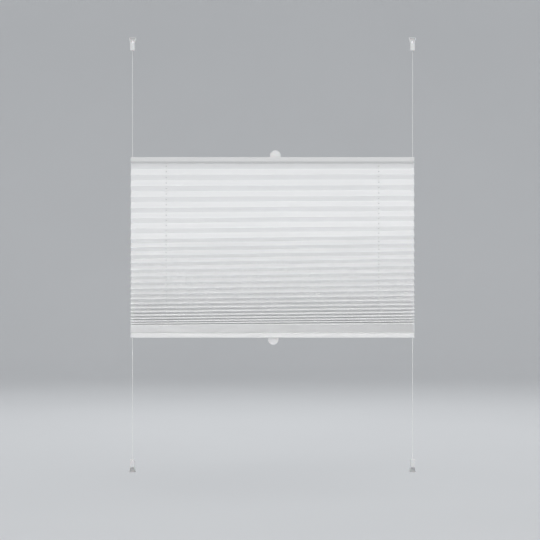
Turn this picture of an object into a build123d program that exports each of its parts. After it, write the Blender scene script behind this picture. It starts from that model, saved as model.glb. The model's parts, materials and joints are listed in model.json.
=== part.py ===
from build123d import *
import os
from math import asin, atan2, cos, hypot, pi, sin, sqrt

# Tensioned pleated blind: a folded sheet between two rails that slide on two cords,
# each cord stretched between an upper and a lower bracket by a spring in the upper rail.
#
# Frame, in millimetres: X to the right, Y towards the window, Z up. The origin is the
# middle of the four mounting screws, on the plane y = 0 that the brackets stand against.

# ---- the blind as a whole
rail_length = 800.0          # either rail with its end caps
screw_row_gap = 1204.0       # from the upper to the lower screws
upper_rail_foot = 260.0      # height of the upper rail's side that faces the pleats
lower_rail_head = -217.0     # height of the lower rail's side that faces the pleats
stand_off = 12.0             # from the window frame to the middle of rails, pleats and cords

# ---- rail section, seen from its end
rail_depth = 22.0
rail_face = 11.0             # upright part of the front
rail_lip = 5.0               # part that slopes in towards the pleats
lip_end_depth = 15.0
rail_wall = 1.2
rail_side_wall = 1.4         # beside the cord chamber
rail_corner = 1.5
slot_mouth = 8.0             # gap that the fabric strip's neck stands in
slot_width = 12.0            # groove that holds the fabric strip's head
slot_lip = 1.2
slot_height = 2.4
slide_gap = 0.15             # between the rail and what slides into it

# ---- end caps, cord guides and fabric strips
cap_length = 12.0            # part of a cap that shows past the rail
cap_plug = 10.0              # part of a cap inside the rail
cap_edge = 1.0
guide_inset = 100.0          # from the rail's end to the cord guide
guide_length = 14.0
guide_width = 12.0
guide_corner = 2.0
guide_roof = 1.2             # over the cord's bore
spigot_radius = 1.8          # neck of the guide that stands in the rail's web
spigot_gap = 0.2

# ---- cords
cord_diameter = 1.1
cord_inset = 4.5             # from the rail's end to the cord's stretch outside the fabric
cord_gap = 0.4               # round the cord in a bore
cord_turn = 3.3              # radius where the cord turns a corner
run_gap = 4.4                # between the cord's two runs inside the upper rail
pin_turn = 2.0               # radius of the cord round the spring's pin
cut_past = 1.0               # how far a cutting shape runs past what it cuts

# ---- spring in the upper rail
spring_length = 92.0
spring_wire = 0.7
spring_inner_radius = 1.9
spring_plug = 6.0            # part of a spring end inside the spring
fork_plate = 1.0             # either cheek of the fork that holds the pin
fork_gap = 0.5               # round the cord between the cheeks
fork_reach = 5.0             # from the pin to the collar against the spring
collar_length = 2.0
pin_relief = 0.1             # the bare pin is this much slimmer than the cheeks' ends

# ---- pull tabs
tab_width = 30.0
tab_height = 20.0
tab_thickness = 2.4
tab_lean = 14.0              # degrees, towards the window
tab_rim = 1.5
tab_recess = 0.7
tab_offset = {"upper": 8.0, "lower": 2.0}     # to the right of the middle
foot_depth = 9.0
foot_thickness = 1.6
foot_corner = 2.0
peg_radius = 1.5
peg_spread = 18.0
peg_reach = 1.0              # past the rail's wall
peg_gap = 0.1

# ---- folded fabric
pleat_count = 33
leg_length = 20.0            # fabric between two neighbouring folds
sheet_thickness = 0.3
fold_radius = 0.35           # to the middle of the sheet
closed_pitch = 2.6           # height of a pleat that lies closed
wide_pleats = 7              # pleats that hang open at the top
wide_pitch = 31.6
wide_step = 0.6              # each of them is this much lower than the one above
easing_pleats = 17           # pleats that close evenly below those
easing_last = 3.2            # what the last of them still opens
back_share = 0.45            # a back fold's place between two front folds
seat_gap = 0.2               # between the sheet and the strips
cord_hole = 5.0

# ---- brackets, seen from the front, with u counted from the bracket's outer end
bracket_length = 37.5
flare_length = 16.0
flare_width = 20.5
box_width = 12.0
box_depth = 19.0
flare_end_depth = 6.0
bracket_plate = 3.0
bracket_wall = 1.8
box_edge = 0.8
screw_place = 12.7
cord_slot = 1.8              # in the shoe
shoe_gap = 0.2
shoe_wall = 2.0              # bracket wall in front of the shoe
bead_radius = 2.0
bead_place = 22.5
bead_pocket = 5.0
bead_bore_gap = 0.05
cord_tail = 1.0              # past the bead

# ---- screws
screw_diameter = 3.0         # outside the thread
screw_neck = 2.7             # plain part under the head
screw_head = 6.0
screw_head_height = 1.8
screw_reach = 12.0           # behind the bracket
screw_hole_gap = 0.2
cross_width = 0.9
cross_length = 3.4
cross_depth = 1.1

# ---- worked out from the sizes above
rail_height = rail_face + rail_lip
profile_length = rail_length - 2 * cap_length
chamber_floor = slot_lip + slot_height + rail_wall
chamber_roof = rail_height - rail_wall
chamber_width = rail_depth - 2 * rail_side_wall
chamber_middle = (chamber_floor + chamber_roof) / 2
high_run = chamber_middle + run_gap / 2
low_run = chamber_middle - run_gap / 2
cord_x = rail_length / 2 - cord_inset
guide_x = rail_length / 2 - guide_inset
bore_radius = cord_diameter / 2 + cord_gap
pin_x = spring_length / 2 + fork_reach + collar_length
bracket_end = screw_row_gap / 2 + screw_place
blind_plane = Plane.XZ.offset(stand_off)


def rail_point(side, w):
    """Height of a place w above a rail's pleat side, counted away from the pleats."""
    return upper_rail_foot + w if side == "upper" else lower_rail_head - w


def at_rail(side, shape):
    """Moves a shape from the rail's own frame, pleat side at z = 0, to its place."""
    if side == "lower":
        shape = mirror(shape, about=Plane.XY)
    return Pos(0, -stand_off, rail_point(side, 0)) * shape


def at_hand(hand, shape):
    """Takes a shape made for the right-hand side to the side that is asked for."""
    return shape if hand == "right" else mirror(shape, about=Plane.YZ)


def at_row(row, shape):
    """Takes a shape made for the upper brackets to the row that is asked for."""
    return shape if row == "upper" else mirror(shape, about=Plane.XY)


def along_x(outline, start, end):
    """An outline drawn in Y and Z, made solid between two places along X."""
    return extrude(Plane.YZ.offset(start) * outline, end - start)


def to_front(outline, start, end):
    """An outline drawn in X and Z, made solid from depth start to depth end in front of y = 0."""
    return extrude(Plane.XZ.offset(start) * outline, end - start)


def block(x, y, z):
    """A box between a low and a high value of each axis."""
    size = [high - low for low, high in (x, y, z)]
    middle = [(high + low) / 2 for low, high in (x, y, z)]
    return Pos(*middle) * Box(*size)


def tube(points, radii, radius):
    """A round bar along straight runs joined by tangent arcs, in the cords' plane."""
    path = blind_plane * FilletPolyline(*points, radius=radii)
    section = Plane(origin=path @ 0, z_dir=path % 0) * Circle(radius)
    return sweep(section, path=path), path.length


# ---- rails

def rail_outline():
    """Outer outline of a rail and of its end caps."""
    half, lip = rail_depth / 2, lip_end_depth / 2
    corners = [(-lip, 0), (-half, rail_lip), (-half, rail_height),
               (half, rail_height), (half, rail_lip), (lip, 0)]
    face = make_face(Polyline(*corners, close=True))
    tops = face.vertices().group_by(Axis.Y)[-1]
    return fillet(tops, rail_corner)


def rail_section():
    """The extruded aluminium profile: a cord chamber over a groove for the fabric strip."""
    chamber = Pos(0, chamber_middle) * Rectangle(chamber_width, chamber_roof - chamber_floor)
    groove = Pos(0, slot_lip + slot_height / 2) * Rectangle(slot_width, slot_height)
    mouth = Pos(0, slot_lip / 2) * Rectangle(slot_mouth, slot_lip)
    return rail_outline() - chamber - groove - mouth


def make_rail(side):
    rail = along_x(rail_section(), -profile_length / 2, profile_length / 2)
    for x in (-guide_x, guide_x):
        web_hole = Cylinder(spigot_radius + spigot_gap, rail_wall * 2)
        rail -= Pos(x, 0, chamber_floor - rail_wall / 2) * web_hole
    for x in peg_places(side):
        rail -= Pos(x, 0, rail_height - rail_wall / 2) * Cylinder(peg_radius + peg_gap, rail_wall * 2)
    return at_rail(side, rail)


def cap_level(side):
    """Level at which the cord crosses the cap into the rail's chamber."""
    return high_run if side == "upper" else low_run


def make_cap(side):
    """Right-hand end cap: a block with the rail's outline and a plug in the chamber."""
    joint = profile_length / 2
    cap = along_x(rail_outline(), joint, joint + cap_length)
    cap = fillet(cap.faces().sort_by(Axis.X)[-1].edges(), cap_edge)
    half = chamber_width / 2 - slide_gap
    levels = (chamber_floor + slide_gap, chamber_roof - slide_gap)
    cap += block((joint - cap_plug, joint), (-half, half), levels)
    cap = at_rail(side, cap)
    bends = [(cord_x, rail_point(side, rail_height + cut_past)),
             (cord_x, rail_point(side, cap_level(side))),
             (joint - cap_plug - cut_past, rail_point(side, cap_level(side)))]
    passage, _ = tube(bends, [cord_turn], bore_radius)
    return cap - passage


def make_guide(side):
    """Right-hand cord guide: turns the cord from the rail's chamber into the pleats."""
    top = low_run + bore_radius + guide_roof
    guide = block((guide_x - guide_length / 2, guide_x + guide_length / 2),
                  (-guide_width / 2, guide_width / 2), (chamber_floor, top))
    guide = fillet(guide.edges().filter_by(Axis.Z), guide_corner)
    spigot_end = chamber_floor - rail_wall
    spigot = Cylinder(spigot_radius, rail_wall + guide_roof)
    guide += Pos(guide_x, 0, spigot_end + (rail_wall + guide_roof) / 2) * spigot
    guide = at_rail(side, guide)
    inward = -1 if side == "upper" else 1
    bends = [(guide_x + inward * guide_length, rail_point(side, low_run)),
             (guide_x, rail_point(side, low_run)),
             (guide_x, rail_point(side, spigot_end - cut_past))]
    passage, _ = tube(bends, [cord_turn], bore_radius)
    return guide - passage


def make_strip(side):
    """Plastic strip in the rail's groove that the sheet's first or last leg is bonded to."""
    head = (slot_width / 2 - slide_gap, slot_lip + slide_gap, slot_lip + slot_height - slide_gap)
    neck = slot_mouth / 2 - slide_gap
    half = profile_length / 2
    strip = block((-half, half), (-head[0], head[0]), (head[1], head[2]))
    strip += block((-half, half), (-neck, neck), (0, head[1]))
    for x in (-guide_x, guide_x):
        strip -= Pos(x, 0, slot_lip) * Cylinder(cord_hole / 2, 2 * rail_lip)
    return at_rail(side, strip)


# ---- pull tabs

def peg_places(side):
    return [tab_offset[side] - peg_spread / 2, tab_offset[side] + peg_spread / 2]


def make_tab(side):
    """Finger tab with a foot on the rail and two pegs through the rail's wall."""
    round_top = tab_width / 2
    straight = tab_height - round_top
    dome = Pos(0, straight) * Circle(round_top) + Pos(0, straight / 2) * Rectangle(tab_width, straight)
    dome -= Pos(0, -round_top / 2) * Rectangle(2 * tab_width, round_top)
    inner = offset(dome, -tab_rim)
    tab = to_front(dome, 0, tab_thickness) - to_front(inner, tab_thickness - tab_recess, tab_thickness)
    tab = Rot(-tab_lean, 0, 0) * tab
    foot = block((-tab_width / 2, tab_width / 2), (-foot_depth / 2, foot_depth / 2), (0, foot_thickness))
    foot = fillet(foot.edges().filter_by(Axis.Z), foot_corner)
    below_foot = block((-tab_width, tab_width), (-rail_depth, rail_depth), (-tab_height, 0))
    tab = tab - below_foot + foot
    tab = Pos(tab_offset[side], 0, rail_height) * tab
    peg_foot = rail_height - rail_wall - peg_reach
    for x in peg_places(side):
        peg = Cylinder(peg_radius, rail_height - peg_foot + foot_thickness / 2)
        tab += Pos(x, 0, (rail_height + peg_foot + foot_thickness / 2) / 2) * peg
    return at_rail(side, tab)


# ---- spring and its ends

def make_spring():
    """Close-wound tension spring, as the tube that its turns fill."""
    outline = Circle(spring_inner_radius + spring_wire) - Circle(spring_inner_radius)
    spring = along_x(outline, -spring_length / 2, spring_length / 2)
    return at_rail("upper", Pos(0, 0, chamber_middle) * spring)


def make_spring_end():
    """Right-hand spring end: plug and collar with a fork, and a pin that the cord turns round."""
    half = spring_length / 2
    reach = pin_turn - cord_diameter / 2
    slot = cord_diameter + fork_gap
    width = slot + 2 * fork_plate
    end = along_x(Circle(spring_inner_radius), half - spring_plug, half)
    end += along_x(Circle(spring_inner_radius + spring_wire), half, half + collar_length)
    fork = block((half, pin_x), (-width / 2, width / 2), (-reach, reach))
    fork += Pos(pin_x, 0, 0) * Rot(90, 0, 0) * Cylinder(reach, width)
    end += fork
    end -= block((half + collar_length, pin_x + pin_turn), (-slot / 2, slot / 2), (-run_gap, run_gap))
    end += Pos(pin_x, 0, 0) * Rot(90, 0, 0) * Cylinder(reach - pin_relief, width - 2 * pin_relief)
    return at_rail("upper", Pos(0, 0, chamber_middle) * end)


# ---- cords

def cord_route():
    """Points of the right-hand cord, in X and Z, and the radius at each corner between its ends."""
    pin_inside = pin_x - pin_turn
    bead = bracket_end - bead_place + bead_radius + cord_tail
    points = [
        (cord_x, bead),
        (cord_x, rail_point("upper", high_run)),
        (pin_inside, rail_point("upper", high_run)),
        (pin_inside, rail_point("upper", low_run)),
        (guide_x, rail_point("upper", low_run)),
        (guide_x, rail_point("lower", low_run)),
        (cord_x, rail_point("lower", low_run)),
        (cord_x, -bead),
    ]
    return points, [cord_turn, pin_turn, pin_turn, cord_turn, cord_turn, cord_turn]


def make_cord():
    points, radii = cord_route()
    cord, length = tube(points, radii, cord_diameter / 2)
    share = cord.volume / (length * pi * (cord_diameter / 2) ** 2)
    print(f"cord length {length:.1f} mm, volume over section times length {share:.4f}, radii {radii}")
    return cord


# ---- fabric

def front_folds():
    """Heights of the front folds, from the top: open pleats, pleats that ease, closed pleats."""
    top = upper_rail_foot - seat_gap - fold_radius - sheet_thickness / 2
    foot = lower_rail_head + seat_gap + fold_radius + sheet_thickness / 2
    extra = [wide_pitch - closed_pitch - k * wide_step for k in range(wide_pleats)]
    spare = top - foot - (pleat_count - 1) * closed_pitch - sum(extra)
    easing_first = 2 * spare / easing_pleats - easing_last
    step = (easing_first - easing_last) / (easing_pleats - 1)
    extra += [easing_first - k * step for k in range(easing_pleats)]
    extra += [0.0] * (pleat_count - 1 - len(extra))
    heights = [top]
    for more in extra:
        heights.append(heights[-1] - closed_pitch - more)
    return heights


def fold_centres():
    """Centres of all folds as (y, z), front and back in turn, with the legs' length kept."""
    fronts = front_folds()
    centres = []
    for here, below in zip(fronts, fronts[1:]):
        pitch = here - below
        rise = pitch / 2
        reach = sqrt(leg_length ** 2 - rise ** 2) / 2 - fold_radius
        back = here - back_share * pitch
        centres += [(-reach, here), (reach, back)]
    centres.append((-(leg_length / 2 - fold_radius), fronts[-1]))
    return centres


def leg_slopes(centres):
    """Downward slope of each leg that runs from under one fold to over the next."""
    slopes = []
    for (y0, z0), (y1, z1) in zip(centres, centres[1:]):
        lean = atan2(z0 - z1, abs(y1 - y0))
        slopes.append(lean - asin(2 * fold_radius / hypot(y1 - y0, z1 - z0)))
    return [0.0, *slopes, 0.0]


def sheet_face(centres, way):
    """One face of the sheet: legs that meet at arcs about the fold centres."""
    slopes = leg_slopes(centres)
    half = sheet_thickness / 2
    points, radii = [], []
    for i, (y, z) in enumerate(centres):
        front = i % 2 == 0
        radius = fold_radius + (half if front == (way < 0) else -half)
        before, after = slopes[i], slopes[i + 1]
        reach = radius / sin((before + after) / 2)
        turn = (after - before) / 2
        points.append((y + (-reach if front else reach) * cos(turn), z + reach * sin(turn)))
        radii.append(radius)
    edge = leg_length / 2
    top = centres[0][1] + radii[0]
    foot = centres[-1][1] - radii[-1]
    return FilletPolyline((edge, top), *points, (edge, foot), radius=radii)


def make_fabric():
    """The folded sheet, one closed outline carried across the whole width."""
    centres = fold_centres()
    outer, inner = (sheet_face(centres, way) for way in (-1, 1))
    outline = make_face([*outer.edges(), *inner.edges(),
                         Line(outer @ 0, inner @ 0), Line(outer @ 1, inner @ 1)])
    sheet = along_x(outline, -rail_length / 2, rail_length / 2)
    sheet = Pos(0, -stand_off, 0) * sheet
    height = upper_rail_foot - lower_rail_head
    for x in (-guide_x, guide_x):
        sheet -= Pos(x, -stand_off, (upper_rail_foot + lower_rail_head) / 2) * Cylinder(cord_hole / 2, height)
    return sheet


# ---- brackets

def bracket_height(u):
    """Height of a place u from the outer end of an upper bracket."""
    return bracket_end - u


def bracket_shape(inset, start, end):
    """Outline of the bracket between two places along it, drawn in X and Z, inset at its sides."""
    def half_width(u):
        share = min(u / flare_length, 1)
        return (flare_width + (box_width - flare_width) * share) / 2 - inset

    stops = [start, *[u for u in (flare_length,) if start < u < end], end]
    left = [(cord_x - half_width(u), bracket_height(u)) for u in stops]
    right = [(cord_x + half_width(u), bracket_height(u)) for u in reversed(stops)]
    return make_face(Polyline(*left, *right, close=True))


def make_bracket():
    """Upper right bracket: a flared foot round the screw and a box for the tension shoe."""
    box_face = Pos(cord_x, -box_depth / 2) * Rectangle(box_width, box_depth)
    box_face = fillet(box_face.vertices().group_by(Axis.Y)[0], box_edge)
    foot_plane = Plane.XY.offset(bracket_height(bracket_length))
    bracket = extrude(foot_plane * box_face, bracket_length - flare_length)
    flare_depth = box_depth - box_edge
    flare = to_front(bracket_shape(0, 0, flare_length), 0, flare_depth)
    slope = [(-flare_end_depth, bracket_height(0)), (-flare_depth, bracket_height(flare_length)),
             (-box_depth, bracket_height(flare_length)), (-box_depth, bracket_height(0))]
    flare -= along_x(make_face(Polyline(*slope, close=True)), cord_x - flare_width, cord_x + flare_width)
    bracket += flare
    pocket = bracket_shape(bracket_wall, bracket_wall, flare_length)
    bracket -= to_front(pocket, bracket_plate, box_depth + cut_past)
    bracket -= shoe_space(0)
    hole = at_screw(Circle(screw_diameter / 2 + screw_hole_gap))
    bracket -= to_front(hole, -cut_past, bracket_plate)
    return bracket - screw_head_cone(screw_hole_gap)


def shoe_space(gap):
    """The room inside a bracket's box, or with a gap the shoe that fits it."""
    half = box_width / 2 - bracket_wall - gap
    return block((cord_x - half, cord_x + half),
                 (-box_depth + shoe_wall + gap, -bracket_plate - gap),
                 (bracket_height(bracket_length), bracket_height(flare_length + bracket_wall + gap)))


def make_shoe():
    """Tension shoe: slides into the bracket's box and holds the cord's bead in a pocket."""
    shoe = shoe_space(shoe_gap)
    outer = flare_length + bracket_wall
    bore = Cylinder(bore_radius, 3 * bracket_length)
    shoe -= Pos(cord_x, -stand_off, bracket_height(bracket_length / 2)) * bore
    pocket_length = bead_place + bead_radius - outer
    pocket = Cylinder(bead_pocket / 2, pocket_length)
    shoe -= Pos(cord_x, -stand_off, bracket_height(outer + pocket_length / 2)) * pocket
    slot = (cord_x - cord_slot / 2, cord_x + cord_slot / 2)
    return shoe - block(slot, (-box_depth, -stand_off),
                        (bracket_height(bracket_length + cut_past), bracket_height(outer - cut_past)))


def make_bead():
    """Bead that is fixed on the cord's end and bears on the floor of the shoe's pocket."""
    bead = Sphere(bead_radius) - Cylinder(cord_diameter / 2 + bead_bore_gap, 3 * bead_radius)
    return Pos(cord_x, -stand_off, bracket_height(bead_place)) * bead


def at_screw(outline):
    """Moves an outline drawn about X and Z of zero to the axis of the upper right screw."""
    return Pos(cord_x, screw_row_gap / 2) * outline


def screw_head_cone(gap):
    """Countersunk head of the upper right screw, or with a gap its seat in the bracket."""
    head = Cone(screw_neck / 2 + gap, screw_head / 2 + gap, screw_head_height)
    middle = -bracket_plate + screw_head_height / 2
    return Pos(cord_x, middle, screw_row_gap / 2) * Rot(90, 0, 0) * head


def make_screw():
    """Countersunk cross-head screw of the upper right bracket, its thread standing out behind."""
    thread = to_front(at_screw(Circle(screw_diameter / 2)), -screw_reach, 0)
    tip = thread.faces().sort_by(Axis.Y)[-1].edges()
    thread = chamfer(tip, screw_diameter / 4)
    neck = to_front(at_screw(Circle(screw_neck / 2)), 0, bracket_plate - screw_head_height)
    cross = Rectangle(cross_length, cross_width) + Rectangle(cross_width, cross_length)
    recess = to_front(at_screw(cross), bracket_plate - cross_depth, bracket_plate + cut_past)
    return thread + neck + screw_head_cone(0) - recess


# ---- every piece by name

pieces = {"pleated_fabric": make_fabric(), "tension_spring": make_spring()}

for side in ("upper", "lower"):
    pieces[f"{side}_rail"] = make_rail(side)
    pieces[f"{side}_fabric_strip"] = make_strip(side)
    pieces[f"{side}_pull_tab"] = make_tab(side)
    for hand in ("left", "right"):
        pieces[f"{side}_end_cap_{hand}"] = at_hand(hand, make_cap(side))
        pieces[f"{side}_cord_guide_{hand}"] = at_hand(hand, make_guide(side))
        pieces[f"bracket_{side}_{hand}"] = at_row(side, at_hand(hand, make_bracket()))
        pieces[f"tension_shoe_{side}_{hand}"] = at_row(side, at_hand(hand, make_shoe()))
        pieces[f"cord_bead_{side}_{hand}"] = at_row(side, at_hand(hand, make_bead()))
        pieces[f"bracket_screw_{side}_{hand}"] = at_row(side, at_hand(hand, make_screw()))

for hand in ("left", "right"):
    pieces[f"spring_end_{hand}"] = at_hand(hand, make_spring_end())
    pieces[f"tension_cord_{hand}"] = at_hand(hand, make_cord())

os.makedirs("parts", exist_ok=True)
for name, piece in pieces.items():
    export_step(piece, f"parts/{name}.step")
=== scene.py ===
import json
import math

import bmesh
import bpy
import numpy as np
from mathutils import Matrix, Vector
from mathutils.geometry import tessellate_polygon


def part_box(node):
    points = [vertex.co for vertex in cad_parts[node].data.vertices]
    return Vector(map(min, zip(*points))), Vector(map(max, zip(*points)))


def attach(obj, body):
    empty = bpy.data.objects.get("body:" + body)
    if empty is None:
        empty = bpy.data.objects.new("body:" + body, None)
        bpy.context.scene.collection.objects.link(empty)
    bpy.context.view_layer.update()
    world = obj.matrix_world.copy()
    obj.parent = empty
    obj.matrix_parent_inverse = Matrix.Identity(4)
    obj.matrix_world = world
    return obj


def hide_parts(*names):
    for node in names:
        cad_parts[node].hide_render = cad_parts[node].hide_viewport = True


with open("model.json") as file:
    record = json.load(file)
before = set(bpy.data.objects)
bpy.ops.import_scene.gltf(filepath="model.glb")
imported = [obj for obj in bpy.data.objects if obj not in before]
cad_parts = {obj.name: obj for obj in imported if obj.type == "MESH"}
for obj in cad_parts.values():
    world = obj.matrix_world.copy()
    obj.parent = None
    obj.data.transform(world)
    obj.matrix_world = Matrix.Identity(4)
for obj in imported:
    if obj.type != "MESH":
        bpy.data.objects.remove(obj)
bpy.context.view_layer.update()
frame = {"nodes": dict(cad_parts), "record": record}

# A tensioned pleated blind, in metres: X to the right, Y towards the window, Z up.
# The origin is the middle of the four bracket screws.

scene = bpy.context.scene
nodes = frame["nodes"]

# ---------------------------------------------------------------- places and sizes

rail_low, rail_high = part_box("upper_rail")
rail_foot = rail_low.z                              # side of the upper rail that faces the pleats
rail_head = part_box("lower_rail")[1].z               # side of the lower rail that faces the pleats
blind_y = (rail_low.y + rail_high.y) / 2            # middle of rails, pleats and cords
half_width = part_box("pleated_fabric")[1].x
guide_low, guide_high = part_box("upper_cord_guide_right")
hole_x = (guide_low.x + guide_high.x) / 2
bead_low, bead_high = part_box("cord_bead_upper_right")
cord_x = (bead_low.x + bead_high.x) / 2
bracket_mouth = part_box("bracket_upper_right")[0].z
upper_cap_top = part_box("upper_end_cap_right")[1].z
lower_cap_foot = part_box("lower_end_cap_right")[0].z
lower_guide_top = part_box("lower_cord_guide_right")[1].z
cord_end = bead_high.z + 0.0010                     # a little past the bead

PLEATS = 33
LEG = 0.020                # sheet between two folds
SHEET_THICKNESS = 0.0003
CREASE_PITCHES = (0.0026, 0.005, 0.008, 0.012, 0.018, 0.024)      # a crease is sharp in an open pleat
FRONT_CREASES = (0.00105, 0.0018, 0.0021, 0.0016, 0.0008, 0.0004)  # and springs out as the pleat closes
BACK_CREASES = (0.00092, 0.0008, 0.0007, 0.0006, 0.0005, 0.0004)
CREASE_SLACK = math.pi / 4 - 0.5    # sheet that a round crease takes up, in its radii
CREASE_STEPS = 6           # faces round a crease
LEG_BOW = 0.00025          # a leg springs up this much in its middle
SEAT_GAP = 0.0002
CLOSED_PITCH = 0.0026
WIDE_PLEATS, WIDE_PITCH, WIDE_STEP = 7, 0.0316, 0.0006
EASING_PLEATS, EASING_LAST = 17, 0.0032
BACK_SHARE = 0.45
HOLE_RADIUS = 0.0021
HOLE_SQUARE = 0.0050       # half of the square of faces that a hole is cut from
LEG_PLACES = (-0.0075, -HOLE_SQUARE, -HOLE_RADIUS, 0.0, HOLE_RADIUS, HOLE_SQUARE, 0.0075)
RIPPLES = ((0.83, 0.45), (0.37, 0.30), (0.19, 0.16), (0.071, 0.07))   # length along X, share
SAG, SWAY = 0.0005, 0.0004     # how far the ripples move a fold up and forward
EDGE_STRIP = 0.0003        # narrow faces along a cut edge
TILT_PLEATS = (0, 2, 6, 7.5, 12, 20, 24, 32)
TILT = (0, 0.0035, 0.0070, 0.0117, 0.0117, 0.0094, 0.0060, 0)     # right end above left end, at those
OPEN_PITCH = 0.0350        # pitch of every pleat when the sheet is fully drawn out

CORD_DIAMETER = 0.0011
RUN_ABOVE_FOOT = 0.0120    # cord's upper and lower run inside the upper rail
RUN_BELOW = 0.0076
PIN_X = 0.0510             # where the cord turns back at the spring


# ---------------------------------------------------------------- node expressions

class Term:
    """One output socket, with arithmetic that adds Math nodes to its tree."""

    def __init__(self, graph, socket):
        self.graph = graph
        self.socket = socket

    def math(self, operation, *others):
        values = dict(enumerate([self, *others]))
        return self.graph.add("ShaderNodeMath", {"operation": operation}, values)

    def __add__(self, other):
        return self.math("ADD", other)

    def __radd__(self, other):
        return self.math("ADD", other)

    def __sub__(self, other):
        return self.math("SUBTRACT", other)

    def __rsub__(self, other):
        return self.math("MULTIPLY", -1.0).math("ADD", other)

    def __mul__(self, other):
        return self.math("MULTIPLY", other)

    def __rmul__(self, other):
        return self.math("MULTIPLY", other)

    def __truediv__(self, other):
        return self.math("DIVIDE", other)

    def at_least(self, other):
        return self.math("MAXIMUM", other)

    def at_most(self, other):
        return self.math("MINIMUM", other)

    def root(self):
        return self.math("SQRT")

    def wave(self, length, phase=0.0):
        """A sine of this value with the given wavelength, from -1 to 1."""
        return (self * (2 * math.pi / length) + phase).math("SINE")


class Graph:
    """A node tree that is filled by one method."""

    def __init__(self, tree):
        self.tree = tree
        tree.nodes.clear()

    def add(self, kind, settings=None, sockets=None, output=0):
        """A node of that kind: its settings first, then its sockets by name or number."""
        node = self.tree.nodes.new(kind)
        for key, value in (settings or {}).items():
            setattr(node, key, value)
        for key, value in (sockets or {}).items():
            if isinstance(value, Term):
                self.tree.links.new(value.socket, node.inputs[key])
            else:
                node.inputs[key].default_value = value
        return Term(self, node.outputs[output]) if len(node.outputs) else node

    def attribute(self, name, output="Fac"):
        return self.add("ShaderNodeAttribute", {"attribute_name": name}, output=output)

    def axes(self, vector):
        """The three parts of a vector."""
        split = self.add("ShaderNodeSeparateXYZ", sockets={0: vector})
        return [Term(self, split.socket.node.outputs[i]) for i in range(3)]

    def place(self):
        return self.add("ShaderNodeTexCoord", output="Object")

    def noise(self, vector, scale, detail=2.0, roughness=0.5):
        return self.add("ShaderNodeTexNoise", sockets={
            "Vector": vector, "Scale": scale, "Detail": detail, "Roughness": roughness})

    def mix(self, share, first, second):
        """Two colours mixed by a share."""
        sockets = {0: share, 6: first, 7: second}
        return self.add("ShaderNodeMix", {"data_type": "RGBA"}, sockets, output=2)

    def bump(self, height, distance, strength=1.0):
        return self.add("ShaderNodeBump", sockets={
            "Height": height, "Distance": distance, "Strength": strength})


def grey(value):
    return (value, value, value, 1.0)


def shader(name, build, light_through=0.0):
    """A material whose Principled sockets come from build(graph), a dict by socket name.

    light_through is the share of it that lets light from behind show, as thin cloth does.
    """
    material = bpy.data.materials.new(name)
    material.use_nodes = True
    graph = Graph(material.node_tree)
    surface = graph.add("ShaderNodeBsdfPrincipled", sockets=build(graph))
    if light_through:
        glow = graph.add("ShaderNodeBsdfTranslucent", sockets={"Color": (0.97, 0.97, 0.97, 1)})
        surface = graph.add("ShaderNodeMixShader", sockets={0: light_through, 1: surface, 2: glow})
    graph.add("ShaderNodeOutputMaterial", sockets={"Surface": surface})
    return material


# ---------------------------------------------------------------- finishes

def pleated_cloth(g):
    """White polyester: fine plain weave, slubs along the width, creases a little polished, with a painted
    highlight along each crease.
    """
    across, down, _ = g.axes(g.attribute("flat_place", "Vector"))
    thread = 0.00055
    checks = across.wave(thread) * down.wave(thread)
    slub_place = g.add("ShaderNodeCombineXYZ", sockets={0: across * 25.0, 1: down * 900.0, 2: 0.0})
    slubs = g.noise(slub_place, 1.0, 3.0)
    clouds = g.noise(g.place(), 9.0, 2.0)
    crease = g.attribute("crease")
    tone = (slubs * 0.5 + clouds * 0.5 + checks * 0.06).at_most(1.0)
    colour = g.mix(tone, (0.945, 0.945, 0.946, 1), (0.970, 0.970, 0.970, 1))
    # colour lifted towards white along each crease: a painted highlight on the folds
    colour = g.mix(crease * 0.35, colour, (0.98, 0.98, 0.98, 1))
    height = checks * 0.5 + slubs * 0.6
    return {
        "Base Color": colour,
        "Roughness": 0.82 - crease * 0.14,
        "Sheen Weight": 0.18,
        "Sheen Roughness": 0.45,
        "Specular IOR Level": 0.35,
        "Normal": g.bump(height, 0.00009, 0.6),
    }


def powder_coat(g):
    """Satin white powder coat on extruded aluminium, with its faint orange peel."""
    place = g.place()
    peel = g.noise(place, 900.0, 2.0)
    broad = g.noise(place, 14.0, 1.0)
    x, y, z = g.axes(place)
    drawn = g.add("ShaderNodeCombineXYZ", sockets={0: x * 6.0, 1: y * 1400.0, 2: z * 1400.0})
    lines = g.noise(drawn, 1.0, 2.0)
    return {
        "Base Color": g.mix(broad, grey(0.67), grey(0.70)),
        "Roughness": 0.34 + peel * 0.10,
        "Coat Weight": 0.12,
        "Coat Roughness": 0.2,
        "Normal": g.bump(peel * 0.8 + lines * 0.5, 0.00004, 0.5),
    }


def moulded_plastic(g, tone=0.74, shine=0.42):
    """White moulded plastic with a fine spark-eroded grain."""
    place = g.place()
    grain = g.noise(place, 1700.0, 3.0)
    flow = g.noise(place, 60.0, 2.0)
    return {
        "Base Color": g.mix(flow, grey(tone - 0.02), grey(tone + 0.015)),
        "Roughness": shine + grain * 0.12,
        "Subsurface Weight": 0.06,
        "Subsurface Scale": 0.002,
        "Normal": g.bump(grain, 0.00003, 0.6),
    }


def cap_plastic(g):
    """Moulded plastic in the rails' tone."""
    return moulded_plastic(g, 0.69, 0.38)


def inner_plastic(g):
    """The plastic of pieces that sit inside others, a little smoother."""
    return moulded_plastic(g, 0.70, 0.35)


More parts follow.
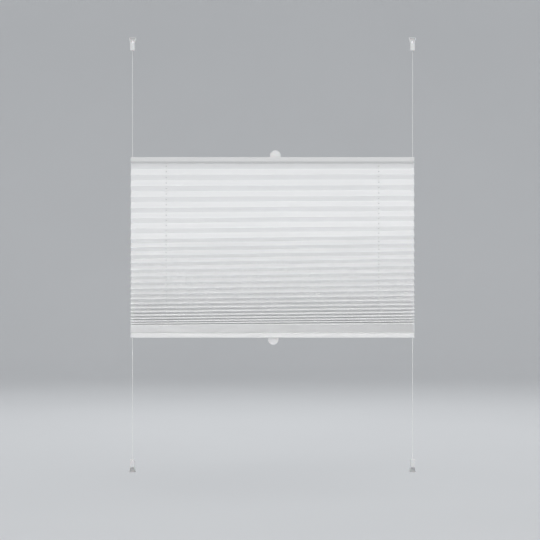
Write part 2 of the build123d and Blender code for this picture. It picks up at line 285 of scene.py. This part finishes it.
def braided_cord(g):
    """White polyester braid: two sets of strands that cross as they wind round the cord."""
    along, around, _ = g.axes(g.attribute("cord_place", "Vector"))
    strand = CORD_DIAMETER
    right = (along + around * strand).wave(strand)
    left = (along - around * strand).wave(strand)
    braid = right.at_least(left)
    fuzz = g.noise(g.place(), 4000.0, 2.0)
    return {
        # the colour is darker between the strands: painted shade in the braid's grooves
        "Base Color": g.mix(braid * 0.5 + 0.5, (0.82, 0.82, 0.81, 1), (0.95, 0.95, 0.94, 1)),
        "Roughness": 0.75 + fuzz * 0.15,
        "Sheen Weight": 0.25,
        "Normal": g.bump(braid + fuzz * 0.3, 0.00008, 0.8),
    }


def zinc(g):
    """Bright zinc plate with light scratches."""
    place = g.place()
    x, y, z = g.axes(place)
    scratch_place = g.add("ShaderNodeCombineXYZ", sockets={0: x * 500.0, 1: y * 3000.0, 2: z * 500.0})
    scratches = g.noise(scratch_place, 1.0, 4.0)
    return {
        "Base Color": g.mix(scratches, (0.52, 0.53, 0.55, 1), (0.70, 0.70, 0.71, 1)),
        "Metallic": 1.0,
        "Roughness": 0.26 + scratches * 0.2,
        "Normal": g.bump(scratches, 0.00002, 0.5),
    }


def spring_wire(g):
    """Drawn steel wire, greyer than the zinc."""
    drawn = g.noise(g.place(), 1500.0, 3.0)
    return {
        "Base Color": g.mix(drawn, (0.42, 0.42, 0.43, 1), (0.60, 0.60, 0.61, 1)),
        "Metallic": 1.0,
        "Roughness": 0.3 + drawn * 0.15,
        "Normal": g.bump(drawn, 0.00001, 0.5),
    }


def studio_floor(g):
    """Matt pale paint that glows a little, so that the floor and wall look evenly lit."""
    soft = g.noise(g.place(), 1.2, 2.0)
    return {
        "Base Color": g.mix(soft, (0.57, 0.58, 0.59, 1), (0.60, 0.61, 0.62, 1)),
        "Roughness": 0.9,
        "Specular IOR Level": 0.1,
        "Emission Color": (0.95, 0.97, 1.0, 1),
        "Emission Strength": 0.07,
    }


finishes = {
    "pleat_fabric": shader("pleated_cloth", pleated_cloth, light_through=0.4),
    "painted_aluminium": shader("powder_coat", powder_coat),
    "white_plastic": shader("moulded_plastic", moulded_plastic),
    "inner_plastic": shader("inner_plastic", inner_plastic),
    "cord_fibre": shader("braided_cord", braided_cord),
    "screw_steel": shader("zinc", zinc),
    "spring_steel": shader("spring_wire", spring_wire),
}


def finish_cad_nodes():
    """Every CAD node takes the finish of its own material slot, but the caps match the rails."""
    caps = shader("cap_plastic", cap_plastic)
    for entry in frame["record"]["subparts"]:
        mesh = nodes[entry["node"]].data
        mesh.materials.clear()
        mesh.materials.append(caps if "end_cap" in entry["node"] else finishes[entry["material_slot"]])


# ---------------------------------------------------------------- meshes

def mesh_object(name, points, faces, material, smooth=True):
    mesh = bpy.data.meshes.new(name)
    mesh.from_pydata([tuple(p) for p in points], [], faces)
    mesh.validate()
    mesh.update()
    mesh.materials.append(material)
    mesh.polygons.foreach_set("use_smooth", [smooth] * len(mesh.polygons))
    made = bpy.data.objects.new(name, mesh)
    scene.collection.objects.link(made)
    return made


def store(obj, name, values):
    """A number or a vector for each point of the mesh, by name."""
    kind = "FLOAT_VECTOR" if np.ndim(values) == 2 else "FLOAT"
    attribute = obj.data.attributes.new(name, kind, "POINT")
    attribute.data.foreach_set("vector" if kind == "FLOAT_VECTOR" else "value",
                               np.asarray(values, np.float32).ravel())


def follow(obj, name, build):
    """Moves the mesh's points with the rails: build(graph, upper, lower) gives the Y and Z offsets."""
    tree = bpy.data.node_groups.new(name, "GeometryNodeTree")
    tree.interface.new_socket("Geometry", in_out="INPUT", socket_type="NodeSocketGeometry")
    tree.interface.new_socket("Geometry", in_out="OUTPUT", socket_type="NodeSocketGeometry")
    g = Graph(tree)
    rises = []
    for rail in ("upper_rail", "lower_rail"):
        place = g.add("GeometryNodeObjectInfo", sockets={"Object": nodes[rail]}, output="Location")
        rises.append(g.axes(place)[2])
    forward, up = build(g, *rises)
    offset = g.add("ShaderNodeCombineXYZ", sockets={0: 0.0, 1: forward, 2: up})
    points = g.add("NodeGroupInput")
    moved = g.add("GeometryNodeSetPosition", sockets={"Geometry": points, "Offset": offset})
    g.add("NodeGroupOutput", sockets={0: moved})
    obj.modifiers.new(name, "NODES").node_group = tree


def stored(g, name):
    return g.add("GeometryNodeInputNamedAttribute", {"data_type": "FLOAT"}, {"Name": name})


# ---------------------------------------------------------------- the folded sheet

SEAT_DEPTH = SEAT_GAP + SHEET_THICKNESS / 2 + FRONT_CREASES[0]     # from a rail to the nearest crease


def pleat_pitches():
    """Height of each pleat from the top: open ones, ones that ease, closed ones."""
    extra = [WIDE_PITCH - CLOSED_PITCH - k * WIDE_STEP for k in range(WIDE_PLEATS)]
    spare = rail_foot - rail_head - 2 * SEAT_DEPTH - (PLEATS - 1) * CLOSED_PITCH - sum(extra)
    first = 2 * spare / EASING_PLEATS - EASING_LAST
    step = (first - EASING_LAST) / (EASING_PLEATS - 1)
    extra += [first - k * step for k in range(EASING_PLEATS)]
    extra += [0.0] * (PLEATS - 1 - len(extra))
    return [CLOSED_PITCH + more for more in extra]


def fold_rows():
    """Rows of the sheet from top to bottom, as a dict of arrays with one value a row.

    Each crease is an arc between two legs. A row knows its place, how far it shifts when the
    sheet is fully open or closed, which side it is on and how far down the flat sheet it is.
    """
    pitches = pleat_pitches()
    last = 2 * (PLEATS - 1)
    depth, hang, pitch, radius = [], [], [], []
    height = SEAT_DEPTH
    for k, p in enumerate(pitches):
        around = CLOSED_PITCH if k == 0 else (p + pitches[k - 1]) / 2
        front = float(np.interp(around, CREASE_PITCHES, FRONT_CREASES))
        back = float(np.interp(p, CREASE_PITCHES, BACK_CREASES))
        reach = math.sqrt(LEG ** 2 - (p / 2) ** 2) / 2 - CREASE_SLACK * (front + back)
        depth += [front - reach, reach - back]
        hang += [height, height + BACK_SHARE * p]
        pitch += [p, p]
        radius += [front, back]
        height += p
    radius.append(FRONT_CREASES[0])
    depth.append(radius[-1] - LEG / 2)
    hang.append(height)
    pitch.append(pitches[-1])
    open_span = (PLEATS - 1) * OPEN_PITCH
    closed_span = (PLEATS - 1) * CLOSED_PITCH

    slopes = [0.0]
    for i in range(last):
        fall, run = hang[i + 1] - hang[i], abs(depth[i + 1] - depth[i])
        slopes.append(math.atan2(fall, run) - math.asin((radius[i] + radius[i + 1]) / math.hypot(fall, run)))
    slopes.append(0.0)

    names = ("y", "hang", "open_shift", "close_shift", "side", "pitch", "fold", "down", "crease", "leg")
    rows = {name: [] for name in names}

    def add_row(y, z, fold, crease, leg, side=None, down=None):
        above = min(int(fold), last - 1)
        share = fold - above
        here = hang[above] * (1 - share) + hang[above + 1] * share
        values = (y, z, hang[0] + open_span * fold / last - here,
                  hang[0] + closed_span * fold / last - here,
                  -math.cos(math.pi * fold) if side is None else side,
                  pitch[above] * (1 - share) + pitch[above + 1] * share,
                  fold, (fold + 1) * LEG if down is None else down, crease, leg)
        for name, value in zip(names, values):
            rows[name].append(value)

    for y in (LEG / 2, *reversed(LEG_PLACES)):
        add_row(y, hang[0] - radius[0], 0.0, 0.0, 0, side=0.0, down=LEG / 2 - y)
    for i in range(last + 1):
        out = -1 if i % 2 == 0 else 1
        start = math.pi / 2 - slopes[i]
        stop = slopes[i + 1] - math.pi / 2
        for step in range(CREASE_STEPS + 1):
            turn = start + (stop - start) * step / CREASE_STEPS
            add_row(depth[i] + out * radius[i] * math.cos(turn), hang[i] - radius[i] * math.sin(turn),
                    float(i), 1.0 - abs(step / CREASE_STEPS - 0.5), i)
        if i == last:
            break
        y0 = depth[i] + out * radius[i] * math.cos(stop)
        z0 = hang[i] - radius[i] * math.sin(stop)
        turn = math.pi / 2 - slopes[i + 1]
        y1 = depth[i + 1] - out * radius[i + 1] * math.cos(turn)
        z1 = hang[i + 1] - radius[i + 1] * math.sin(turn)
        length = math.hypot(y1 - y0, z1 - z0)
        middle = -y0 / (y1 - y0)
        for place in LEG_PLACES:
            share = middle + place / length
            if 0.03 < share < 0.97:
                bow = LEG_BOW * math.sin(math.pi * share)
                add_row(y0 + (y1 - y0) * share, z0 + (z1 - z0) * share + bow, i + share, 0.0, i + 1)
    for y in (*LEG_PLACES, LEG / 2):
        add_row(y, hang[last] + radius[last], float(last), 0.0, last + 1,
                side=0.0, down=(last + 1) * LEG + y + LEG / 2)
    return {name: np.array(values, float) for name, values in rows.items()}


def ripple(x, fold):
    """Small unevenness of a fold along the width, with a phase of its own for each fold."""
    waves = np.zeros(np.broadcast(x, fold).shape)
    for k, (length, size) in enumerate(RIPPLES):
        phase = 6.1 * np.sin(fold * (0.61 + 0.23 * k) + 1.7 * k)
        waves += size * np.sin(2 * np.pi * x / length + phase)
    return waves


def tilt_at(x, fold):
    """The pleats hang a little lower on the left than on the right, most of all in the middle."""
    return np.interp(fold / 2, TILT_PLEATS, TILT) * x / (2 * half_width)


def sheet_columns():
    """Places across the width: even steps, and closer ones round each cord hole."""
    square = (-HOLE_SQUARE, -HOLE_RADIUS, 0.0, HOLE_RADIUS, HOLE_SQUARE)
    near = [s * hole_x + d for s in (-1, 1) for d in square]
    even = [x for x in np.linspace(-half_width, half_width, 37)
            if min(abs(x - n) for n in near) > 1.2 * HOLE_SQUARE]
    ends = [s * (half_width - EDGE_STRIP) for s in (-1, 1)]
    return np.array(sorted(near + even + ends))


def make_sheet():
    """The whole folded sheet, with a round hole for the cord in every leg that has room for it."""
    rows = fold_rows()
    columns = sheet_columns()
    x, which = np.meshgrid(columns, np.arange(len(rows["y"])))
    values = {key: list(rows[key][which].ravel()) for key in rows}
    values["x"] = list(x.ravel())
    width = len(columns)
    count = len(rows["y"])
    legs = rows["leg"]
    hole_columns = [int(np.argmin(abs(columns - side * hole_x))) for side in (-1, 1)]

    def leg_middle(leg):
        """Row in the middle of a leg, where the cord goes through, or None."""
        found = [r for r in range(count) if legs[r] == leg and rows["crease"][r] == 0.0
                 and abs(rows["y"][r]) < 1e-6]
        return found[0] if found else None

    holes = []
    for leg in range(2 * PLEATS):
        row = leg_middle(leg)
        if row is None or row < 2 or row > count - 3:
            continue
        if all(legs[r] == leg for r in range(row - 2, row + 3)):
            holes += [(row, column) for column in hole_columns]
    faces, skipped = [], set()
    for row, column in holes:
        for r in range(row - 2, row + 2):
            for c in range(column - 2, column + 2):
                skipped.add((r, c))
    for r in range(count - 1):
        for c in range(width - 1):
            if (r, c) not in skipped:
                a = r * width + c
                faces.append((a, a + 1, a + width + 1, a + width))

    blend_keys = [key for key in values if key != "x"]
    for row, column in holes:
        around = [(-2, d) for d in range(-2, 2)] + [(d, 2) for d in range(-2, 2)]
        around += [(2, -d) for d in range(-2, 2)] + [(-d, -2) for d in range(-2, 2)]
        outer = [(row + dr) * width + column + dc for dr, dc in around]
        low, high = (row - 2) * width + column, (row + 2) * width + column
        centre_x = columns[column]
        down_low, down_high = values["down"][low], values["down"][high]
        down_middle = values["down"][row * width + column]
        loops = [outer]
        for radius in (HOLE_RADIUS + EDGE_STRIP, HOLE_RADIUS):
            ring = []
            for o in outer:
                away = Vector((values["x"][o] - centre_x, values["down"][o] - down_middle))
                away = away.normalized() * radius
                share = (down_middle + away.y - down_low) / (down_high - down_low)
                ring.append(len(values["x"]))
                values["x"].append(centre_x + away.x)
                for key in blend_keys:
                    values[key].append(values[key][low] * (1 - share) + values[key][high] * share)
            loops.append(ring)
        for first, second in zip(loops, loops[1:]):
            for i in range(len(outer)):
                j = (i + 1) % len(outer)
                faces.append((first[i], first[j], second[j], second[i]))

    v = {key: np.array(values[key], float) for key in values}
    uneven = ripple(v["x"], v["fold"])
    free = np.clip(np.minimum(v["fold"], 2 * (PLEATS - 1) - v["fold"]) / 3, 0, 1)
    room = np.clip(v["pitch"] / WIDE_PITCH, 0.08, 1)
    tilt = tilt_at(v["x"], v["fold"])
    sag = SAG * uneven * free * room
    points = np.stack([
        v["x"],
        blind_y + v["y"] + SWAY * ripple(v["x"] + 0.31, v["fold"] * 1.3 + 4) * free * room,
        rail_foot - v["hang"] + tilt + sag,
    ], axis=1)
    sheet = mesh_object("folded_sheet", points, faces, finishes["pleat_fabric"])
    for name in ("open_shift", "close_shift", "side", "pitch", "crease"):
        store(sheet, name, v[name])
    store(sheet, "tilt", tilt)
    store(sheet, "flat_place", np.stack([v["x"], v["down"], np.zeros(len(v["x"]))], axis=1))

    span = sum(pleat_pitches())

    def shift(g, upper, lower):
        spread = upper - lower
        opened = spread.at_least(0.0) / ((PLEATS - 1) * OPEN_PITCH - span)
        closed = (lower - upper).at_least(0.0) / (span - (PLEATS - 1) * CLOSED_PITCH)
        pitch = stored(g, "pitch")

        def half_depth(value):
            half = value * 0.5
            return (LEG ** 2 - half * half).at_least(0.0).root() * 0.5

        new_pitch = pitch + (OPEN_PITCH - pitch) * opened + (CLOSED_PITCH - pitch) * closed
        forward = stored(g, "side") * (half_depth(new_pitch) - half_depth(pitch))
        closing = stored(g, "close_shift") + stored(g, "tilt")
        up = upper - stored(g, "open_shift") * opened - closing * closed
        return forward, up

    follow(sheet, "sheet_follows_rails", shift)
    solid = sheet.modifiers.new("cloth_thickness", "SOLIDIFY")
    solid.thickness = SHEET_THICKNESS
    solid.offset = 0.0
    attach(sheet, "brackets_and_cords")
    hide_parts("pleated_fabric")


# ---------------------------------------------------------------- cords

def cord_line(hand):
    """Points along a cord, from its upper bead to its lower one, off one smooth spline."""
    side = 1 if hand == "right" else -1
    high = rail_foot + RUN_ABOVE_FOOT
    low = rail_foot + RUN_BELOW
    under = rail_head - RUN_BELOW
    near = 6 * CORD_DIAMETER
    route = [
        (cord_x, cord_end),
        (cord_x, high + near), (cord_x, high), (cord_x - near, high),
        (PIN_X + near, high), (PIN_X, high), (PIN_X, low), (PIN_X + near, low),
        (hole_x - near, low), (hole_x, low), (hole_x, low - near),
        (hole_x, under + near), (hole_x, under), (hole_x + near, under),
        (cord_x - near, under), (cord_x, under), (cord_x, under - near),
        (cord_x, -cord_end),
    ]
    curve = bpy.data.curves.new(f"cord_route_{hand}", "CURVE")
    curve.dimensions = "3D"
    spline = curve.splines.new("NURBS")
    spline.points.add(len(route) - 1)
    for point, (x, z) in zip(spline.points, route):
        point.co = (side * x, blind_y, z, 1.0)
    spline.order_u = 3
    spline.use_endpoint_u = True
    spline.resolution_u = 10
    bare = bpy.data.objects.new(f"cord_route_{hand}", curve)
    line = bpy.data.meshes.new_from_object(bare)
    points = np.array([v.co for v in line.vertices], float)
    bpy.data.meshes.remove(line)
    bpy.data.curves.remove(curve)
    apart = np.linalg.norm(np.diff(points, axis=0), axis=1)
    return points[np.concatenate([[True], apart > 1e-6])]


def make_cord(hand):
    """Braided cord as a tube on its route, taken along by the rails that it runs through."""
    line = cord_line(hand)
    ring = 10
    tangents = np.gradient(line, axis=0)
    tangents /= np.linalg.norm(tangents, axis=1)[:, None]
    outward = np.array([0.0, 1.0, 0.0])
    sideways = np.cross(tangents, outward)
    along = np.concatenate([[0], np.cumsum(np.linalg.norm(np.diff(line, axis=0), axis=1))])
    points, places = [], []
    for point, side, far in zip(line, sideways, along):
        for k in range(ring):
            turn = 2 * math.pi * k / ring
            out = math.cos(turn) * outward + math.sin(turn) * side
            points.append(point + CORD_DIAMETER / 2 * out)
            places.append((far, k / ring, 0.0))
    faces = []
    for i in range(len(line) - 1):
        for k in range(ring):
            a, b = i * ring + k, i * ring + (k + 1) % ring
            faces.append((a, b, b + ring, a + ring))
    faces.append(tuple(range(ring)))
    faces.append(tuple(reversed(range(len(points) - ring, len(points)))))
    cord = mesh_object(f"cord_{hand}", points, faces, finishes["cord_fibre"])
    store(cord, "cord_place", np.array(places))

    heights = np.repeat(line[:, 2], ring)
    stops = [-bracket_mouth, lower_cap_foot, lower_guide_top,
             guide_low.z, upper_cap_top, bracket_mouth]
    store(cord, "with_upper", np.interp(heights, stops, [0, 0, 0, 1, 1, 0]))
    store(cord, "with_lower", np.interp(heights, stops, [0, 1, 1, 0, 0, 0]))

    def shift(g, upper, lower):
        return 0.0, upper * stored(g, "with_upper") + lower * stored(g, "with_lower")

    follow(cord, f"cord_{hand}_follows_rails", shift)
    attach(cord, "brackets_and_cords")
    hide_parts(f"tension_cord_{hand}")


# ---------------------------------------------------------------- spring

def make_spring():
    """Close-wound spring in the upper rail, one wire in even turns."""
    low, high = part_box("tension_spring")
    wire, pitch = 0.0007, 0.00072
    per_turn, ring = 14, 6
    length = high.x - low.x - wire
    steps = int(length / pitch) * per_turn
    radius = (high.z - low.z) / 2 - wire / 2
    start = Vector((low.x + wire / 2, (low.y + high.y) / 2, (low.z + high.z) / 2))
    along = Vector((1, 0, 0))
    points, faces = [], []
    for i in range(steps + 1):
        turn = 2 * math.pi * i / per_turn
        out = Vector((0, math.cos(turn), math.sin(turn)))
        middle = start + along * (length * i / steps) + out * radius
        for k in range(ring):
            a = 2 * math.pi * k / ring
            points.append(middle + wire / 2 * (math.cos(a) * out + math.sin(a) * along))
    for i in range(steps):
        for k in range(ring):
            a, b = i * ring + k, i * ring + (k + 1) % ring
            faces.append((a, a + ring, b + ring, b))
    faces.append(tuple(reversed(range(ring))))
    faces.append(tuple(range(len(points) - ring, len(points))))
    spring = mesh_object("wound_spring", points, faces, finishes["spring_steel"])
    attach(spring, "upper_rail_set")
    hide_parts("tension_spring")


# ---------------------------------------------------------------- screws

RING = 28                      # points round a screw
HEAD, NECK, CREST, ROOT = 0.0030, 0.00135, 0.0015, 0.00105     # radii
HEAD_EDGE, CONE, PLATE = 0.0001, 0.0018, 0.0030    # depths from the head's face
LEAD, RIDGE, TURN_STEPS = 0.0013, 0.22, 10         # one turn of the thread, half its ridge, its rows
TAPER, BLUNT = 0.0028, 0.12    # length of the point, and how blunt it is
ARM, WIDE, DEEP, DRAFT = 0.0017, 0.00045, 0.0011, 0.85     # the cross recess
SHARP_ANGLE = 0.7


def make_screw(row, hand):
    """Countersunk screw with a cross recess and a real thread down its shank."""
    low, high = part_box(f"bracket_screw_{row}_{hand}")
    x, z = (low.x + high.x) / 2, (low.z + high.z) / 2
    face, tip = low.y, high.y
    points, faces = [], []

    def add_ring(y, radius_at):
        for k in range(RING):
            turn = 2 * math.pi * k / RING
            r = radius_at(k / RING)
            points.append((x + r * math.cos(turn), y, z + r * math.sin(turn)))

    for depth, r in ((0.0, HEAD), (HEAD_EDGE, HEAD), (CONE, NECK), (PLATE, NECK)):
        add_ring(face + depth, lambda _, r=r: r)
    length = tip - face - PLATE
    steps = int(length / LEAD * TURN_STEPS)
    for i in range(steps + 1):
        down = length * i / steps
        point = min(1.0, (length - down) / TAPER + BLUNT)

        def threaded(turn, down=down, point=point):
            phase = (down / LEAD - turn) % 1.0
            ridge = max(0.0, 1 - abs(phase - 0.5) / RIDGE)
            return (ROOT + (CREST - ROOT) * ridge) * point

        add_ring(face + PLATE + down, threaded)
    rings = len(points) // RING
    for i in range(rings - 1):
        for k in range(RING):
            a, b = i * RING + k, i * RING + (k + 1) % RING
            faces.append((a, a + RING, b + RING, b))
    faces.append(tuple(range((rings - 1) * RING, rings * RING)))

    quarter = [(ARM, -WIDE), (ARM, WIDE), (WIDE, WIDE)]
    corners = [turned for way in range(4) for turned in (
        [(u, v), (-v, u), (-u, -v), (v, -u)][way] for u, v in quarter)]
    top = len(points)
    points += [(x + u, face, z + v) for u, v in corners]
    points += [(x + u * DRAFT, face + DEEP, z + v * DRAFT) for u, v in corners]
    rim = [Vector((p[0] - x, p[2] - z, 0)) for p in points[:RING]]
    cross = [Vector((u, v, 0)) for u, v in corners]
    number = list(range(RING)) + list(range(top, top + len(corners)))
    for a, b, c in tessellate_polygon([rim, cross]):
        faces.append((number[a], number[b], number[c]))
    for k in range(len(corners)):
        a, b = top + k, top + (k + 1) % len(corners)
        faces.append((a, b, b + len(corners), a + len(corners)))
    faces.append(tuple(range(top + len(corners), top + 2 * len(corners))))
    screw = mesh_object(f"wood_screw_{row}_{hand}", points, faces, finishes["screw_steel"])
    tidy = bmesh.new()
    tidy.from_mesh(screw.data)
    bmesh.ops.recalc_face_normals(tidy, faces=tidy.faces)
    for edge in tidy.edges:
        if len(edge.link_faces) == 2 and edge.calc_face_angle() > SHARP_ANGLE:
            edge.smooth = False
    tidy.to_mesh(screw.data)
    tidy.free()
    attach(screw, "brackets_and_cords")
    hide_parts(f"bracket_screw_{row}_{hand}")


# ---------------------------------------------------------------- studio

def make_camera():
    """Level camera a little to the right of and above the middle of the blind."""
    lens, sensor = 100.0, 36.0
    across = 1.5212                         # width of the view at the rails' fronts
    distance = across * lens / sensor
    shift_x, shift_y = -0.015, -0.045
    off_x, off_y = 0.0046, -0.0276          # the blind's middle from the view's, in view widths
    data = bpy.data.cameras.new("camera")
    data.lens, data.sensor_width = lens, sensor
    data.shift_x, data.shift_y = shift_x, shift_y
    camera = bpy.data.objects.new("camera", data)
    camera.location = (-(shift_x + off_x) * across, rail_low.y - distance, -(shift_y - off_y) * across)
    camera.rotation_euler = (math.pi / 2, 0, 0)
    scene.collection.objects.link(camera)
    scene.camera = camera


def make_room():
    """A round studio: pale floor that curves up into a pale wall."""
    floor, flat, curve = -0.80, 5.5, 2.5
    profile = [(0.0, 0.0)]
    profile += [(flat + curve * math.sin(a), curve - curve * math.cos(a))
                for a in np.linspace(0, math.pi / 2, 16)]
    profile += [(flat + curve, 6.0)]
    ring = 96
    points = [(0.0, 0.0, floor)]
    for r, h in profile[1:]:
        points += [(r * math.cos(2 * math.pi * k / ring), r * math.sin(2 * math.pi * k / ring), floor + h)
                   for k in range(ring)]
    faces = [(0, 1 + k, 1 + (k + 1) % ring) for k in range(ring)]
    for i in range(len(profile) - 2):
        for k in range(ring):
            a, b = 1 + i * ring + k, 1 + i * ring + (k + 1) % ring
            faces.append((a, a + ring, b + ring, b))
    room = mesh_object("studio_floor", points, faces, shader("studio_floor", studio_floor))


def make_light(name, place, size, power, colour=(1, 1, 1), aim=(0, 0, 0), spread=180):
    """A soft light that faces a point of the blind and isn't seen itself."""
    data = bpy.data.lights.new(name, "AREA")
    data.spread = math.radians(spread)
    data.shape = "RECTANGLE"
    data.size, data.size_y = size
    data.energy = power
    data.color = colour
    light = bpy.data.objects.new(name, data)
    light.location = place
    light.rotation_euler = (Vector(aim) - Vector(place)).to_track_quat("-Z", "Y").to_euler()
    light.visible_camera = False
    scene.collection.objects.link(light)


def make_studio():
    scene.view_settings.view_transform = "Standard"
    world = bpy.data.worlds.new("studio_sky")
    scene.world = world
    world.use_nodes = True
    g = Graph(world.node_tree)
    sky = g.add("ShaderNodeBackground", sockets={"Color": (0.97, 0.98, 1.0, 1), "Strength": 0.72})
    g.add("ShaderNodeOutputWorld", sockets={"Surface": sky})
    make_room()
    make_light("front_light", (0.4, -4.0, 1.9), (5.0, 2.8), 86, (1.0, 0.995, 0.98))
    make_light("low_light", (0.0, -1.7, -0.25), (1.6, 0.1), 0.55, (1.0, 0.995, 0.98), (0, 0, -0.16), 40)
    make_light("window_light", (0.0, 3.4, 2.0), (4.0, 2.0), 45, (0.98, 0.99, 1.0))


make_camera()
for hand in ("left", "right"):
    make_cord(hand)
make_sheet()
make_spring()
for row in ("upper", "lower"):
    for hand in ("left", "right"):
        make_screw(row, hand)
finish_cad_nodes()
make_studio()
